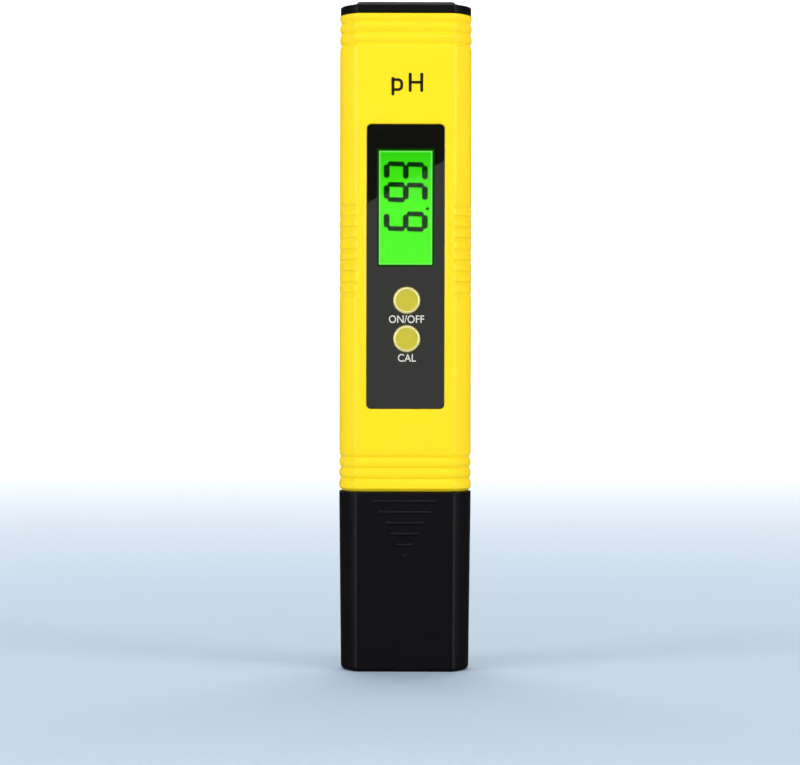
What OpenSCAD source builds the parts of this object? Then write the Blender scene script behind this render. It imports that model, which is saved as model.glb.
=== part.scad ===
// Pen-type pH tester standing on its storage cap. Millimetres, +Z up, the flat front faces -Y.
// The origin is the middle of the cap's base.

/* [Pen body] */
// Width across the rounded sides
pen_w = 30; // [30:0.5:32]
// Depth between the flat front and the flat back
pen_d = 16; // [16:0.5:17]
// Radius of the rounded sides
side_r = 10; // [9.75:0.25:10]
// Wall of the housing
wall = 1.8; // [1.7:0.05:1.8]
// Thinner wall round the battery bay
bay_wall = 1.5; // [1.4:0.05:1.5]
// Top of the storage cap
cap_top = 40.65; // [40:0.05:41]
// Top of the yellow housing
body_top = 148.5; // [148.5:0.05:149]
// Top of the battery cover
pen_h = 151.2; // [151:0.05:152]
// Gap left at the cap and cover seams
seam = 0.1; // [0.05:0.05:0.15]

/* [Scalloped rings] */
// Heights of the grooves near the cap and near the battery cover
ring_z = [43.6, 46.05, 48.45, 141.85, 144.35, 146.8];
// Depth of a groove
ring_depth = 0.4; // [0.3:0.05:0.5]
// Half width of a groove
ring_half = 1.2; // [1:0.05:1.2]

/* [Side grips] */
// Height of the lowest grip groove
grip_z = 85.25; // [84:0.25:86]
// Number of grip grooves
grips = 9; // [7:1:9]
// Spacing of the grip grooves
grip_pitch = 2.475; // [2.3:0.005:2.55]
// Depth of the grip grooves
grip_depth = 0.25; // [0.2:0.05:0.5]

/* [Front panel] */
// Width of the glossy panel
panel_w = 17.4; // [17:0.1:17.4]
// Lower edge of the panel
panel_z0 = 59.5; // [59:0.5:60]
// Upper edge of the panel
panel_z1 = 123.5; // [123:0.5:124]
// Thickness of the panel
panel_t = 0.85; // [0.8:0.05:0.85]
// Width of the display window
window_w = 12.05; // [11.5:0.05:12.1]
// Lower edge of the display window
window_z0 = 91.9; // [91.5:0.1:92]
// Upper edge of the display window
window_z1 = 117.6; // [117:0.1:118]

/* [Keys] */
// Diameter of a key
key_d = 6.15; // [5.8:0.05:6.2]
// Distance of the keys from the middle plane
key_x = 0.3; // [0:0.1:0.4]
// Height of the ON/OFF key
on_off_z = 83.9; // [83.5:0.1:84]
// Height of the CAL key
cal_z = 75.25; // [75:0.05:75.5]
// How far a key stands out of the panel
key_proud = 0.2; // [0.1:0.05:0.2]

/* [Storage cap] */
// How much narrower the cap is at its base, each side
cap_draft = 0.45; // [0.2:0.05:0.5]
// Wall of the cap
cap_wall = 1.6; // [1.5:0.05:1.6]
// Thickness of the cap's floor
cap_floor = 1.8; // [1.5:0.1:2]
// Heights and lengths of the grip lines, widest at the top
grip_lines = [[38.6, 14.5], [36.15, 11.8], [33.7, 8.9], [31.25, 6.4], [28.8, 3.7], [26.35, 1.2]];
// Thickness of a grip line
line_t = 0.6; // [0.5:0.05:0.7]

/* [Probe] */
// Lower end of the guard prongs
guard_z = 11; // [11:0.5:12]
// Top of the probe sleeve
sleeve_top = 57; // [56:0.5:57]
// Outer diameter of the glass stem
stem_d = 7; // [6:0.5:7]
// Outer diameter of the glass bulb
bulb_d = 8; // [7.5:0.1:8]
// Distance of the glass stem from the middle plane
stem_x = -2.4; // [-2.6:0.1:-2.4]
// Distance of the temperature probe from the middle plane
thermo_x = 6; // [6:0.1:6.2]
// Distance of the reference junction from the middle plane
junction_x = 2.6; // [2.5:0.1:2.7]

/* [Batteries] */
// Diameter of a button cell
cell_d = 11.6; // [11.6:0.1:11.6]
// Height of a button cell
cell_h = 5.4; // [5.2:0.1:5.4]
// Distance of each stack from the middle plane
stack_x = 6.2; // [6.15:0.05:6.3]

/* [Hidden] */
$fn = 72;

fit = 0.02;
far = 60;
arc_x = pen_w / 2 - side_r;
half_d = pen_d / 2;
front = -half_d;
body_z0 = cap_top + seam;

// Layers behind the front face, each as a Y position
panel_y0 = front + 0.05;
panel_y1 = panel_y0 + panel_t;
glass_y0 = panel_y1 + 0.05;
glass_y1 = glass_y0 + 2.2;
guide_y1 = glass_y1 + 1.45;
board_y0 = front + 5.8;
board_y1 = board_y0 + 1.2;
wall_y = front + wall;

// Display and board outlines
window_z = (window_z0 + window_z1) / 2;
glass_w = 15;
glass_h = 29;
frame_w = 18;
frame_h = 32.4;
board_w = 23;
board_z0 = 66.9;
board_z1 = 126.9;
post_x = 8.6;
post_z = [70.5, 123.6];
boss_z = [63.5, 129.9];

// Housing floor, probe sleeve and its fillings, as insets from the pen's outline
floor_z1 = body_z0 + 1.55;
sleeve_inset = 2.2;
prong_inset = 3.4;
chamber_inset = 3.8;
plug_z0 = 30;
plug_z1 = 36.5;
flange_z1 = floor_z1 + 2;
seal_z = 36.6;
seal_h = 1.1;
slot_w = 14;
slot_z1 = 27.5;
bung_z0 = 53;
bung_z1 = 58.5;
glass_top = 55;
lead_d = 1.2;

// Battery bay
bay_z0 = 132.9;
bay_z1 = 146;
pocket_d = cell_d + 0.3;
pocket_z0 = bay_z0 + 1.3;
cells_top = 146.2;
bridge_t = 0.35;
plug_bottom = cells_top + 0.05 + bridge_t;
flange_z0 = body_top + seam;
flange_top = flange_z0 + 1.9;
block_half = 11.3;

// Keys and switches
key_y0 = panel_y0 - key_proud;
key_y1 = panel_y1 + 0.1;
key_flange_d = 7.2;
plunger_d = 2.4;
plunger_y0 = board_y0 - 2.8;
switch_w = 4.5;
switch_h = 2;

// The pen's outline, every side moved in by inset: flat front and back, arcs at the sides
module outline(inset) {
    intersection() {
        square([far, pen_d - 2 * inset], center = true);
        union() {
            for (s = [-1, 1]) translate([s * arc_x, 0]) circle(r = side_r - inset);
            square([2 * arc_x, 2 * (side_r - inset)], center = true);
        }
    }
}

// Straight bar of that outline between two heights
module bar(z0, z1, inset) {
    translate([0, 0, z0]) linear_extrude(z1 - z0) outline(inset);
}

// Bar whose inset changes with height. The profile is a list of [z, inset], lowest first
module shaped_bar(profile) {
    last = len(profile) - 1;
    side = [for (p = profile) [side_r - p[1], p[0]]];
    flat = [for (p = profile) [half_d - p[1], p[0]]];
    flat_back = [for (i = [last : -1 : 0]) [-flat[i][0], flat[i][1]]];
    z0 = profile[0][0];
    z1 = profile[last][0];
    intersection() {
        rotate([90, 0, 90]) linear_extrude(far, center = true) polygon(concat(flat, flat_back));
        union() {
            for (s = [-1, 1]) translate([s * arc_x, 0, 0])
                rotate_extrude() polygon(concat([[0, z0]], side, [[0, z1]]));
            translate([-arc_x, -side_r, z0]) cube([2 * arc_x, 2 * side_r, z1 - z0]);
        }
    }
}

// Rounded lower edge and upper edge of a shaped bar
function lower_edge(z, r, inset) =
    [for (a = [0 : 30 : 90]) [z + r * (1 - cos(a)), inset + r * (1 - sin(a))]];
function upper_edge(z, r, inset) =
    [for (a = [90 : -30 : 0]) [z - r * (1 - cos(a)), inset + r * (1 - sin(a))]];

// One groove: two rounded flanks that meet in a sharp trough
function groove(z) =
    [for (t = [-1, -0.7, -0.4, -0.15, 0, 0.15, 0.4, 0.7, 1])
        [z + t * ring_half, ring_depth * pow(1 - abs(t), 2)]];

// Flat shape drawn in X and Z, thickened from y0 back to y1
module plate(y0, y1) {
    translate([0, y1, 0]) rotate([90, 0, 0]) linear_extrude(y1 - y0) children();
}

// Round pin along Y
module pin(x, z, d, y0, y1) {
    translate([x, y1, z]) rotate([90, 0, 0]) cylinder(d = d, h = y1 - y0);
}

// Upright rod
module rod(x, d, z0, z1) {
    translate([x, 0, z0]) cylinder(d = d, h = z1 - z0);
}

// Rectangle with rounded corners, centred on x = 0, between two heights
module rounded_rect(w, z0, z1, r) {
    translate([-w / 2 + r, z0]) square([w - 2 * r, z1 - z0]);
    translate([-w / 2, z0 + r]) square([w, z1 - z0 - 2 * r]);
    for (x = [-w / 2 + r, w / 2 - r], z = [z0 + r, z1 - r]) translate([x, z]) circle(r = r);
}

// Rectangle centred on x = 0 and on a height
module rect(w, h, z) {
    translate([-w / 2, z - h / 2]) square([w, h]);
}

// Direction of a path at one of its points, halfway between the pieces that meet there
function unit(v) = v / norm(v);
function heading(path, i) = let (
        before = i > 0 ? unit(path[i] - path[i - 1]) : [0, 0, 0],
        after = i < len(path) - 1 ? unit(path[i + 1] - path[i]) : [0, 0, 0])
    unit(before + after);

// Wire swept along a path. across is a direction that the path never takes
module wire(path, d, sides, across) {
    last = len(path) - 1;
    points = [for (i = [0 : last], k = [0 : sides - 1])
        let (t = heading(path, i), u = unit(cross(across, t)), v = cross(t, u), a = 360 * k / sides)
        path[i] + d / 2 * (cos(a) * u + sin(a) * v)];
    skin = [for (i = [0 : last - 1], k = [0 : sides - 1])
        let (next = (k + 1) % sides)
        [i * sides + k, (i + 1) * sides + k, (i + 1) * sides + next, i * sides + next]];
    start = [for (k = [0 : sides - 1]) k];
    end = [for (k = [sides - 1 : -1 : 0]) last * sides + k];
    polyhedron(points = points, faces = concat([start], skin, [end]));
}

// Screw along Y, its head towards the back
module screw(x, z, shaft_d, head_d, y_tip, y_head, head_h) {
    pin(x, z, shaft_d, y_tip, y_head);
    difference() {
        pin(x, z, head_d, y_head, y_head + head_h);
        for (a = [0, 90]) translate([x, y_head + head_h, z]) rotate([0, a, 0])
            cube([head_d * 0.7, head_h, head_d * 0.18], center = true);
    }
}

// Yellow housing

body_profile = concat(
    lower_edge(body_z0, 0.8, 0),
    [for (z = ring_z, p = groove(z)) p],
    upper_edge(body_top, 0.3, 0)
);

module housing_hollow() {
    bar(floor_z1, bay_z0 - 0.4, wall);
    bar(bay_z0 - 0.5, body_top + 1, bay_wall);
    bar(body_z0 - 1, floor_z1 + 1, sleeve_inset - 0.05);
}

// Sawtooth rings that cut the grip grooves into one rounded side
module grip_cut(side) {
    z0 = grip_z - grip_pitch / 2;
    z1 = z0 + grips * grip_pitch;
    teeth = [for (i = [0 : grips - 1], t = [[-0.5, 0.2], [-0.28, 0.2], [0, 1], [0.28, 0.2]])
        [side_r - grip_depth * t[1], grip_z + (i + t[0]) * grip_pitch]];
    intersection() {
        translate([side * arc_x, 0, 0]) rotate_extrude()
            polygon(concat([[side_r + 1, z0]], teeth, [[side_r - grip_depth * 0.2, z1], [side_r + 1, z1]]));
        translate([side > 0 ? 10.7 : -10.7 - far, -far / 2, z0]) cube([far, far, z1 - z0]);
    }
}

module housing() {
    difference() {
        shaped_bar(body_profile);
        housing_hollow();
        for (side = [-1, 1]) grip_cut(side);
    }
}

// Tongue along both side seams, or the groove that takes it
module seam_tongue(gap) {
    for (s = [-1, 1]) translate([s * (pen_w / 2 - 1.25) - 0.3 - gap, -0.8 - gap, 50 - gap])
        cube([0.6 + 2 * gap, 1 + gap, 80 + 2 * gap]);
}

module front_shell() {
    color("gold") difference() {
        union() {
            intersection() {
                housing();
                translate([-far / 2, -far, 0]) cube([far, far, pen_h]);
            }
            for (z = boss_z) pin(0, z, 4.4, wall_y - 0.3, 1);
            for (x = [-post_x, post_x], z = post_z) pin(x, z, 3.8, wall_y - 0.3, board_y0);
        }
        plate(front - 1, panel_y1) rounded_rect(panel_w + 0.1, panel_z0 - 0.05, panel_z1 + 0.05, 1.05);
        plate(front, wall_y + 1) rect(glass_w + 0.4, glass_h + 0.4, window_z);
        for (z = [on_off_z, cal_z]) pin(key_x, z, key_flange_d + 0.4, front, wall_y + 1);
        for (z = boss_z) pin(0, z, 2 + 2 * fit, wall_y + 2, 2);
        for (x = [-post_x, post_x], z = post_z) pin(x, z, 1.8 + 2 * fit, board_y0 - 3.2, board_y0 + 1);
        seam_tongue(0.05);
    }
}

module rear_shell() {
    screw_seat = half_d - 3;
    color("gold") difference() {
        union() {
            intersection() {
                housing();
                translate([-far / 2, 0, 0]) cube([far, far, pen_h]);
            }
            intersection() {
                for (z = boss_z) pin(0, z, 5.6, 1, half_d - wall + 0.3);
                bar(floor_z1, bay_z0 - 0.2, wall - 0.5);
            }
            seam_tongue(0);
        }
        for (z = boss_z) pin(0, z, 2.3, 0, screw_seat + 1);
        for (z = boss_z) pin(0, z, 4, screw_seat, half_d + 1);
    }
}

module case_screws() {
    color("silver") for (z = boss_z) screw(0, z, 2, 3.7, wall_y + 2.5, half_d - 3, 1.4);
}

// Front panel and display

module front_panel() {
    color([0.07, 0.07, 0.05]) difference() {
        plate(panel_y0, panel_y1) rounded_rect(panel_w, panel_z0, panel_z1, 1);
        plate(panel_y0 - 1, panel_y1 + 1) rounded_rect(window_w, window_z0, window_z1, 0.4);
        for (z = [on_off_z, cal_z]) pin(key_x, z, key_d + 0.25, panel_y0 - 1, panel_y1 + 1);
    }
}

module display_lens() {
    color([0.7, 1, 0.7, 0.5]) plate(panel_y0, panel_y1)
        rounded_rect(window_w - 2 * fit, window_z0 + fit, window_z1 - fit, 0.4 - fit);
}

module display_frame() {
    color("dimgray") plate(wall_y + 0.05, board_y0) difference() {
        rect(frame_w, frame_h, window_z);
        rect(glass_w + 0.1, glass_h + 0.1, window_z);
    }
}

module display_glass() {
    color([0.15, 0.84, 0.04]) plate(glass_y0, glass_y1) rect(glass_w, glass_h, window_z);
}

module light_guide() {
    color("palegreen") plate(glass_y1 + 0.05, guide_y1) rect(12.2, 26.4, window_z + 0.9);
}

module backlight_led() {
    color("lime") plate(glass_y1 + 0.2, board_y0) rect(3, 1.4, window_z - glass_h / 2 + 1);
}

module contact_strips() {
    color("hotpink") for (x = [-6.9, 6.9]) translate([x, 0])
        plate(glass_y1 + fit, board_y0 - fit) rect(1.1, 26, window_z);
}

// Circuit board

module main_board() {
    color("darkgreen") plate(board_y0, board_y1) difference() {
        translate([-board_w / 2, board_z0]) square([board_w, board_z1 - board_z0]);
        for (x = [-post_x, post_x], z = post_z) translate([x, z]) circle(d = 2.2);
    }
}

module controller_blob() {
    r = 4.5;
    h = 1.3;
    color([0.1, 0.1, 0.1]) translate([0, board_y1, 106]) rotate([-90, 0, 0]) rotate_extrude()
        polygon(concat([[0, 0]], [for (a = [0 : 15 : 90]) [r * cos(a), h * sin(a)]]));
}

module amplifier_chip() {
    color([0.15, 0.15, 0.15]) plate(board_y1 + 0.1, board_y1 + 1.6) rect(4, 5, 86);
    color("silver") for (s = [-1, 1], i = [-1.5 : 1 : 1.5])
        translate([s > 0 ? 2 : -3, board_y1, 86 + i * 1.27 - 0.2]) cube([1, 0.8, 0.4]);
}

module board_parts() {
    color("tan") for (i = [0 : 3], s = [-1, 1])
        translate([s * 8 - 1.6, board_y1, 79 + i * 4]) cube([3.2, 1.1, 1.6]);
    color("silver") pin(-6.5, 99, 5, board_y1, board_y1 + 5);
    color("gray") translate([4.4, board_y1, 114]) cube([5, 3.4, 3.4]);
}

module board_screws() {
    color("silver") for (x = [-post_x, post_x], z = post_z)
        screw(x, z, 1.8, 3.4, board_y0 - 2.8, board_y1, 1.1);
}

module tact_switch(z) {
    color("silver") difference() {
        plate(board_y0 - switch_h, board_y0) translate([key_x, 0]) rect(switch_w, switch_w, z);
        pin(key_x, z, plunger_d + 0.1, board_y0 - switch_h - 1, board_y0 - 0.9);
    }
}

module on_off_switch() { tact_switch(on_off_z); }
module cal_switch() { tact_switch(cal_z); }

module probe_socket() {
    color("ivory") plate(board_y1, board_y1 + 4) rect(9, 5, 72);
}

// Keys: cap, retaining flange and stem in one piece, over the switch's own plunger

module key_cap(z) {
    r = key_d / 2;
    depth = key_y1 - key_y0;
    stem_end = plunger_y0 - fit - key_y0;
    color([0.81, 0.78, 0.3]) translate([key_x, key_y0, z]) rotate([-90, 0, 0]) rotate_extrude() polygon([
        [0, 0], [r - 0.5, 0.04], [r - 0.16, 0.16], [r, 0.5], [r, depth], [key_flange_d / 2, depth],
        [key_flange_d / 2, depth + 0.6], [1.5, depth + 0.6], [1.5, stem_end], [0, stem_end]
    ]);
}

module switch_plunger(z) {
    color("black") pin(key_x, z, plunger_d, plunger_y0, board_y0 - 1.3);
}

module on_off_key() { key_cap(on_off_z); }
module cal_key() { key_cap(cal_z); }
module on_off_plunger() { switch_plunger(on_off_z); }
module cal_plunger() { switch_plunger(cal_z); }

// Batteries

module battery_tray() {
    color("dimgray") difference() {
        bar(bay_z0, bay_z1, bay_wall + 0.05);
        for (x = [-stack_x, stack_x]) rod(x, pocket_d, pocket_z0, bay_z1 + 1);
    }
}

// Button cell: the wide can, and the narrower face that shows the negative side
module button_cell(x, z, negative_up) {
    r = cell_d / 2;
    color("silver") translate([x, 0, z + (negative_up ? 0 : cell_h)]) mirror([0, 0, negative_up ? 0 : 1])
        rotate_extrude() polygon([
            [0, 0], [r - 0.3, 0], [r, 0.3], [r, cell_h - 0.9], [r - 0.3, cell_h - 0.6],
            [r - 0.9, cell_h - 0.6], [r - 1.1, cell_h - 0.2], [r - 1.4, cell_h], [0, cell_h]
        ]);
}

module cell_left_lower() { button_cell(-stack_x, cells_top - 2 * cell_h, false); }
module cell_left_upper() { button_cell(-stack_x, cells_top - cell_h, false); }
module cell_right_lower() { button_cell(stack_x, cells_top - 2 * cell_h, true); }
module cell_right_upper() { button_cell(stack_x, cells_top - cell_h, true); }

// Conical coil under each stack: three turns that close in as they rise
function coil_point(t, h) = let (r = 4.4 - 2.6 * t) [r * cos(1080 * t), r * sin(1080 * t), h * t];

module battery_springs() {
    wire_d = 0.4;
    h = cells_top - 2 * cell_h - pocket_z0;
    steps = 54;
    color("goldenrod") for (x = [-stack_x, stack_x]) translate([x, 0, pocket_z0 + wire_d / 2])
        wire([for (i = [0 : steps]) coil_point(i / steps, h - wire_d)], wire_d, 6, [0, 0, 1]);
}

module battery_leads() {
    pad_z = 122;
    color("firebrick") for (s = [-1, 1])
        wire([[s * stack_x, 2.4, bay_z0], [s * stack_x, 2.4, 126], [s * 5.4, 1.8, pad_z],
            [s * 5.4, board_y1, pad_z]], 1, 8, [1, 0, 0]);
}

module battery_cover() {
    plug_inset = bay_wall + 0.08;
    color([0.09, 0.1, 0.09]) difference() {
        union() {
            bar(plug_bottom, flange_z0 + 0.2, plug_inset);
            shaped_bar(concat([[flange_z0, 0.15]], upper_edge(flange_top, 0.45, 0.15)));
            intersection() {
                shaped_bar(concat([[flange_top - 0.2, 1.4]], upper_edge(pen_h, 0.4, 1.4)));
                translate([-block_half, -half_d, flange_top - 0.2]) cube([2 * block_half, pen_d, far]);
            }
        }
        difference() {
            bar(plug_bottom + 0.7, plug_bottom + 1.5, bay_wall - 0.5);
            bar(plug_bottom + 0.6, plug_bottom + 1.6, plug_inset + 0.74);
        }
    }
}

module cover_seal() {
    color([0.15, 0.15, 0.15]) difference() {
        bar(plug_bottom + 0.72, plug_bottom + 1.48, bay_wall + 0.04);
        bar(plug_bottom, plug_bottom + 2, bay_wall + 0.8);
    }
}

module contact_bridge() {
    color("goldenrod") translate([0, 0, cells_top + 0.05]) linear_extrude(bridge_t) {
        square([2 * stack_x, 6], center = true);
        for (x = [-stack_x, stack_x]) translate([x, 0]) circle(d = 6);
    }
}

// Probe

module probe_sleeve() {
    color([0.2, 0.2, 0.22]) difference() {
        union() {
            bar(guard_z, sleeve_top, sleeve_inset);
            bar(floor_z1 + fit, flange_z1, wall + 0.05);
        }
        bar(guard_z - 1, plug_z0 + 0.5, prong_inset);
        bar(plug_z0, sleeve_top + 1, chamber_inset);
        plate(-far, far) rounded_rect(slot_w, guard_z - 10, slot_z1, 2);
        difference() {
            bar(seal_z - fit, seal_z + seal_h + fit, sleeve_inset - 1);
            bar(seal_z - 1, seal_z + seal_h + 1, sleeve_inset + 0.72);
        }
    }
}

module probe_plug() {
    color("lightsteelblue") difference() {
        bar(plug_z0, plug_z1, chamber_inset + fit);
        rod(stem_x, stem_d + 2 * fit, plug_z0 - 1, plug_z1 + 1);
        rod(thermo_x, 3.6 + 2 * fit, plug_z0 - 1, plug_z1 + 1);
        rod(junction_x, 2.2 + 2 * fit, plug_z0 - 1, plug_z1 + 1);
    }
}

// Thin glass: a round bulb blown at the end of an open stem
module glass_shape(stem_r, bulb_r, top) {
    bulb_z = guard_z + 1.5 + bulb_d / 2;
    translate([stem_x, 0, bulb_z]) sphere(r = bulb_r);
    rod(stem_x, 2 * stem_r, bulb_z, top);
}

module glass_electrode() {
    glass_t = 0.7;
    color([0.8, 0.95, 0.9, 0.5]) difference() {
        glass_shape(stem_d / 2, bulb_d / 2, glass_top);
        glass_shape(stem_d / 2 - glass_t, bulb_d / 2 - glass_t, glass_top + 1);
    }
}

module glass_wire() {
    color("silver") rod(stem_x, 0.8, guard_z + 4, glass_top);
}

module reference_wire() {
    color("silver") rod(junction_x, 0.8, 38, 50);
}

module reference_junction() {
    color("white") rod(junction_x, 2.2, plug_z0 - 0.8, plug_z1 + 1);
}

module temperature_probe() {
    tip_z = guard_z + 4;
    color("silver") {
        rod(thermo_x, 3.6, tip_z + 1.8, 40);
        translate([thermo_x, 0, tip_z + 1.8]) sphere(d = 3.6);
    }
}

module sleeve_bung() {
    color([0.2, 0.2, 0.2]) difference() {
        union() {
            bar(bung_z0, bung_z1, chamber_inset + fit);
            bar(sleeve_top + fit, bung_z1, sleeve_inset + 0.4);
        }
        rod(stem_x, stem_d + 2 * fit, bung_z0 - 1, glass_top + fit);
        for (x = [stem_x, junction_x, thermo_x]) rod(x, lead_d + 2 * fit, bung_z0 - 1, bung_z1 + 1);
    }
}

module probe_leads() {
    socket_z0 = 69.5;
    bend_z = bung_z1 + 0.8;
    // Each lead: where it starts, where it passes the case screw's boss, and where it meets the socket
    color("firebrick") for (lead = [
        [[stem_x, 0, glass_top], -4.8, -2.8],
        [[junction_x, 0, 50], 4.6, 0.2],
        [[thermo_x, 0, 40], 7, 3]
    ]) wire([
        lead[0], [lead[0][0], 0, bend_z], [lead[1], 2.4, 61.5], [lead[1], 2.4, 66],
        [lead[2], 1.2, 68.5], [lead[2], 1.2, socket_z0]
    ], lead_d, 8, [1, 0, 0]);
}

module cap_seal() {
    color("black") difference() {
        bar(seal_z, seal_z + seal_h, cap_wall + 0.1);
        bar(seal_z - 1, seal_z + seal_h + 1, sleeve_inset + 0.7);
    }
}

// Storage cap

function draft(z) = cap_draft * (1 - z / cap_top);

module storage_cap() {
    line_y = half_d + 0.25;
    color([0.07, 0.07, 0.09]) {
        difference() {
            shaped_bar(concat(lower_edge(0, 1.2, cap_draft), upper_edge(cap_top, 0.25, 0)));
            shaped_bar([[cap_floor, cap_wall + draft(cap_floor)], [cap_top + 1, cap_wall + draft(cap_top)]]);
        }
        for (g = grip_lines, s = [-1, 1]) {
            skin = half_d - draft(g[0]) - 0.2;
            x = (g[1] - line_t) / 2;
            plate(s > 0 ? skin : -line_y, s > 0 ? line_y : -skin) {
                translate([-x, g[0] - line_t / 2]) square([2 * x, line_t]);
                for (e = [-x, x]) translate([e, g[0]]) circle(d = line_t);
            }
        }
    }
}

module cap_sponge() {
    color("khaki") bar(cap_floor, 6, cap_wall + cap_draft + 0.15);
}

front_shell();
rear_shell();
case_screws();
front_panel();
display_lens();
display_frame();
display_glass();
light_guide();
backlight_led();
contact_strips();
main_board();
controller_blob();
amplifier_chip();
board_parts();
board_screws();
on_off_switch();
cal_switch();
probe_socket();
battery_tray();
cell_left_lower();
cell_left_upper();
cell_right_lower();
cell_right_upper();
battery_springs();
battery_leads();
probe_sleeve();
probe_plug();
glass_electrode();
glass_wire();
reference_wire();
reference_junction();
temperature_probe();
sleeve_bung();
probe_leads();
cap_seal();
on_off_key();
on_off_plunger();
cal_key();
cal_plunger();
battery_cover();
cover_seal();
contact_bridge();
storage_cap();
cap_sponge();
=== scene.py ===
import math

import bmesh
import bpy
from mathutils import Matrix, Vector


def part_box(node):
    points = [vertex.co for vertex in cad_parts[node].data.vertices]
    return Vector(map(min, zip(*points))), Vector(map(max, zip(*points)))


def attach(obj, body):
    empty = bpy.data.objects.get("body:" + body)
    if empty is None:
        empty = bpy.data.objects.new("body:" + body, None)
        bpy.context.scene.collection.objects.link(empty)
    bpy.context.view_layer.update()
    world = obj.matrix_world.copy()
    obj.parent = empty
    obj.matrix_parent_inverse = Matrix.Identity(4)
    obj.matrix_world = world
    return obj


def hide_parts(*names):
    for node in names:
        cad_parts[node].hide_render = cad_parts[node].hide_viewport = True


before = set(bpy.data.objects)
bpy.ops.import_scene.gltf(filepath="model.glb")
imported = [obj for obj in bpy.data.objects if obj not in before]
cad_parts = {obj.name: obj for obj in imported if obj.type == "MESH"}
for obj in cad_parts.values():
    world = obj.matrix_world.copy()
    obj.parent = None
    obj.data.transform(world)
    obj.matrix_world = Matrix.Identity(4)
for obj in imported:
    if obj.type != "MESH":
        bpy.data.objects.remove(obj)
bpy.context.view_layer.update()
MM = 0.001

# ---------------------------------------------------------------- camera
# A long lens level with the middle of the pen, tipped down by less than a degree. The pen leans by
# a tenth of a degree in the frame, so the camera is rolled by that much.

CAMERA_AT = Vector((-1.2, -617.3, 73.9)) * MM
LENS = 121.75
PITCH = math.radians(-0.8)
ROLL = math.radians(-0.13)

camera = bpy.data.objects.new("camera", bpy.data.cameras.new("camera"))
camera.data.lens = LENS
camera.data.sensor_width = 36
camera.location = CAMERA_AT
camera.rotation_euler = (math.radians(90) + PITCH, ROLL, 0)
bpy.context.scene.collection.objects.link(camera)
bpy.context.scene.camera = camera
bpy.context.scene.view_settings.view_transform = "Standard"


# ---------------------------------------------------------------- studio
# A pale floor that curves up into a wall all round and has its own light. Two tall softboxes
# stand in front at the sides and one above, in a dim room, so that black gloss stays black. Gloss
# sees the room instead of the floor, so the room glows from below as the floor would.

NEAR_FLOOR = "C4D8EC"
FAR_FLOOR = "FFFFFF"
FLOOR_RADIUS = 1500
BEND_RADIUS = 900
WALL_TOP = 3200
FRONT_GLOW = 0.06
BACK_GLOW = 0.95
GROUND_GLOW = 0.7


def linear(code):
    """A colour written as sRGB hex, as the linear numbers that shaders take."""
    parts = [int(code[i:i + 2], 16) / 255 for i in (0, 2, 4)]
    return (*[p / 12.92 if p <= 0.04045 else ((p + 0.055) / 1.055) ** 2.4 for p in parts], 1)


def add(tree, kind, inputs=None, **settings):
    """Adds one node, with its settings and with its inputs set or linked."""
    made = tree.nodes.new("ShaderNode" + kind)
    for name, value in settings.items():
        setattr(made, name, value)
    for name, value in (inputs or {}).items():
        if isinstance(value, bpy.types.NodeSocket):
            tree.links.new(value, made.inputs[name])
        else:
            made.inputs[name].default_value = value
    return made


def blank_material(name):
    """A new material, its node tree, its shader, and the place on the piece as a socket."""
    material = bpy.data.materials.new(name)
    material.use_nodes = True
    tree = material.node_tree
    return material, tree, tree.nodes["Principled BSDF"], add(tree, "TexCoord").outputs["Object"]


def set_inputs(shader, values):
    """Sets a shader's inputs by name."""
    for name, value in values.items():
        shader.inputs[name].default_value = value


def tinted(tree, shader, share, low, high):
    """Colours a shader from one sRGB hex colour to another by a share."""
    tint = add(tree, "Mix", {0: share, 6: linear(low), 7: linear(high)}, data_type="RGBA")
    tree.links.new(tint.outputs[2], shader.inputs["Base Color"])


def turned(bm, profile, steps, centre=(0, 0)):
    """Turns a half outline of (radius, height) points into a round shape about an upright axis."""
    verts = [bm.verts.new((centre[0] + r, centre[1], z)) for r, z in profile]
    edges = [bm.edges.new(pair) for pair in zip(verts, verts[1:])]
    bmesh.ops.spin(bm, geom=verts + edges, cent=(*centre, 0), axis=(0, 0, 1), dvec=(0, 0, 0),
                   angle=math.tau, steps=steps, use_merge=True)
    bmesh.ops.remove_doubles(bm, verts=bm.verts, dist=1e-5)
    bmesh.ops.recalc_face_normals(bm, faces=bm.faces)


def arc(centre, radius, start, end, steps):
    """Points along an arc, from one angle to another in degrees."""
    angles = [math.radians(start + (end - start) * i / steps) for i in range(steps + 1)]
    return [(centre[0] + radius * math.cos(a), centre[1] + radius * math.sin(a)) for a in angles]


def painted_floor():
    material, tree, shader, place = blank_material("painted_floor")
    reach = add(tree, "VectorMath", {0: place}, operation="LENGTH")
    away = add(tree, "MapRange", {"Value": reach.outputs["Value"], "From Min": 0.1, "From Max": 1.3})
    tinted(tree, shader, away.outputs[0], NEAR_FLOOR, FAR_FLOOR)
    set_inputs(shader, {"Roughness": 0.6})
    return material


studio_mesh = bmesh.new()
bend = arc((FLOOR_RADIUS, BEND_RADIUS), BEND_RADIUS, -90, 0, 16)
turned(studio_mesh, [(0, 0), (FLOOR_RADIUS / 2, 0), *bend, (bend[-1][0], WALL_TOP)], 64)
bmesh.ops.reverse_faces(studio_mesh, faces=studio_mesh.faces)
bmesh.ops.scale(studio_mesh, vec=(MM, MM, MM), verts=studio_mesh.verts)
studio = bpy.data.objects.new("studio", bpy.data.meshes.new("studio"))
studio_mesh.to_mesh(studio.data)
studio_mesh.free()
studio.data.shade_smooth()
studio.data.materials.append(painted_floor())
studio.visible_glossy = False
bpy.context.scene.collection.objects.link(studio)

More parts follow.
